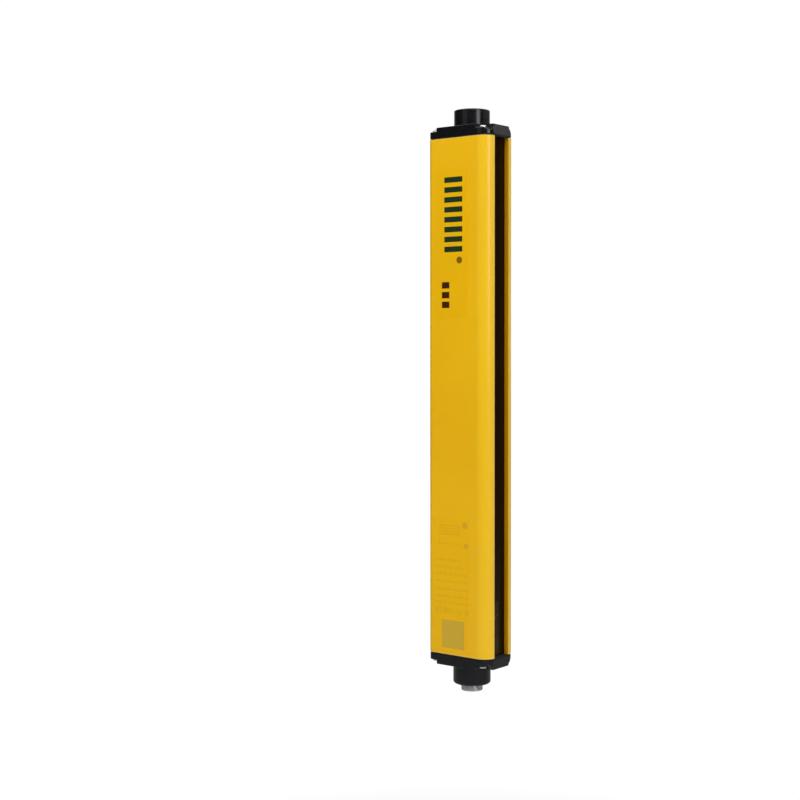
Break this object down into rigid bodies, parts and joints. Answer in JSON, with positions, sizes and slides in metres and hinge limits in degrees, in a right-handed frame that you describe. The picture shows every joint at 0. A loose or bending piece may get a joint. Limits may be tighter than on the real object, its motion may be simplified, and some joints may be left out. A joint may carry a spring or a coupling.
{
  "type": "safety light curtain",
  "caption": "Yellow safety light curtain bar with a recessed dark optical window, black end caps with round bosses, a back T-slot and a threaded round connector below.",
  "frame": {"origin": "centre of the lower round boss, in the plane of the shoulder that the boss stands on", "axes": "+Z along the bar from the connector end to the closed end, -Y out of the optical window, +Y out of the back T-slot, -X out of the marked side face"},
  "size_m": [0.0351, 0.051, 0.4067],
  "materials": {
    "yellow_housing": "satin powder coat on extruded aluminium",
    "dark_window": "glossy infrared-passing plastic, near black",
    "indicator_film": "smoked film",
    "black_cap": "satin black moulded plastic, fine grain",
    "seal_rubber": "matt",
    "plated_screw": "bright nickel plate",
    "nickel_thread": "nickel-plated brass, satin",
    "insulator": "dark moulded insert",
    "gold_pin": "gold flash",
    "wire_jacket": "coloured PVC insulation",
    "header_white": "natural nylon",
    "optics_black": "matt black moulding",
    "lens_clear": "polished",
    "diode_dark": "tinted epoxy",
    "board_green": "solder mask",
    "chip_black": "moulded packages",
    "led_amber": "diffused",
    "guide_clear": "polished acrylic",
    "clear_film": "thin clear film over the yellow side"
  },
  "bodies": {
    "root": {"housing_profile": "yellow_housing", "front_window": "dark_window", "window_seals": "seal_rubber", "indicator_overlay": "indicator_film", "top_end_cap": "black_cap", "bottom_end_cap": "black_cap", "top_cap_gasket": "seal_rubber", "bottom_cap_gasket": "seal_rubber", "top_cap_screws": "plated_screw", "bottom_cap_screws": "plated_screw", "connector_shell": "nickel_thread", "connector_insulator": "insulator", "connector_pins": "gold_pin", "connector_nut": "nickel_thread", "connector_gasket": "seal_rubber", "connector_wires": "wire_jacket", "wire_plug": "header_white", "wire_header": "header_white", "optics_carrier_lower": "optics_black", "optics_carrier_upper": "optics_black", "beam_lenses": "lens_clear", "beam_diodes": "diode_dark", "beam_board": "board_green", "beam_board_components": "chip_black", "control_board": "board_green", "control_board_components": "chip_black", "board_link_header": "chip_black", "indicator_leds": "led_amber", "indicator_light_guide": "guide_clear", "marking_film_upper": "clear_film", "marking_film_lower": "clear_film"}
  },
  "joints": []
}
